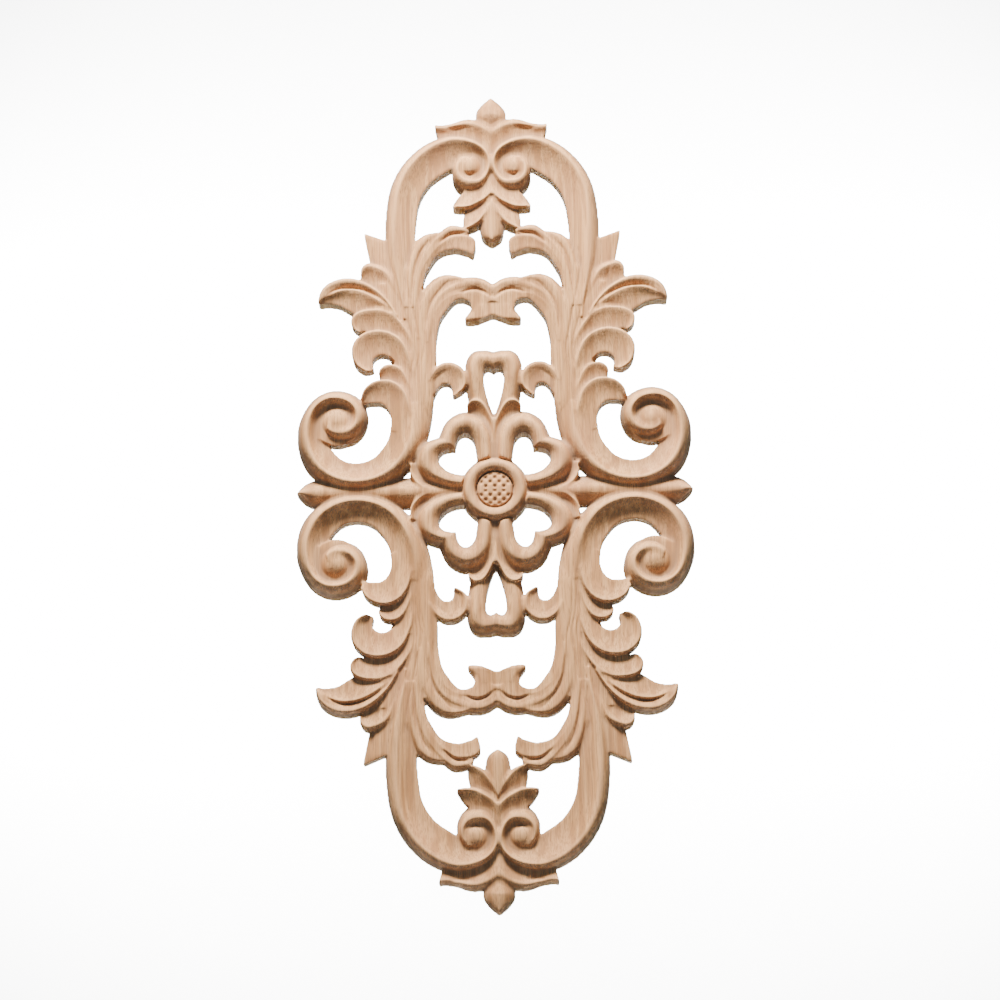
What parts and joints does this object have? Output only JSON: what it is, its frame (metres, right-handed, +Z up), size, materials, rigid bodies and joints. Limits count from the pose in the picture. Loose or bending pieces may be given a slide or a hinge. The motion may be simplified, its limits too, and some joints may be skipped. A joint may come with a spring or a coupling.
{
  "type": "carved wood onlay",
  "caption": "Long openwork onlay of carved hardwood: mirrored scrolls, acanthus leaves and a central rosette, with a flat back to fix on a door, panel, frame or wall.",
  "frame": {"origin": "centre of the flat back, behind the middle of the rosette", "axes": "+Z up along the length, +X to the right seen from the carved side, +Y out of the flat back into the wall, so the carving faces -Y"},
  "size_m": [0.1888, 0.013, 0.4],
  "materials": {
    "carved_wood": "bare, sanded smooth, unvarnished"
  },
  "bodies": {
    "root": {"carved_onlay": "carved_wood"}
  },
  "joints": []
}
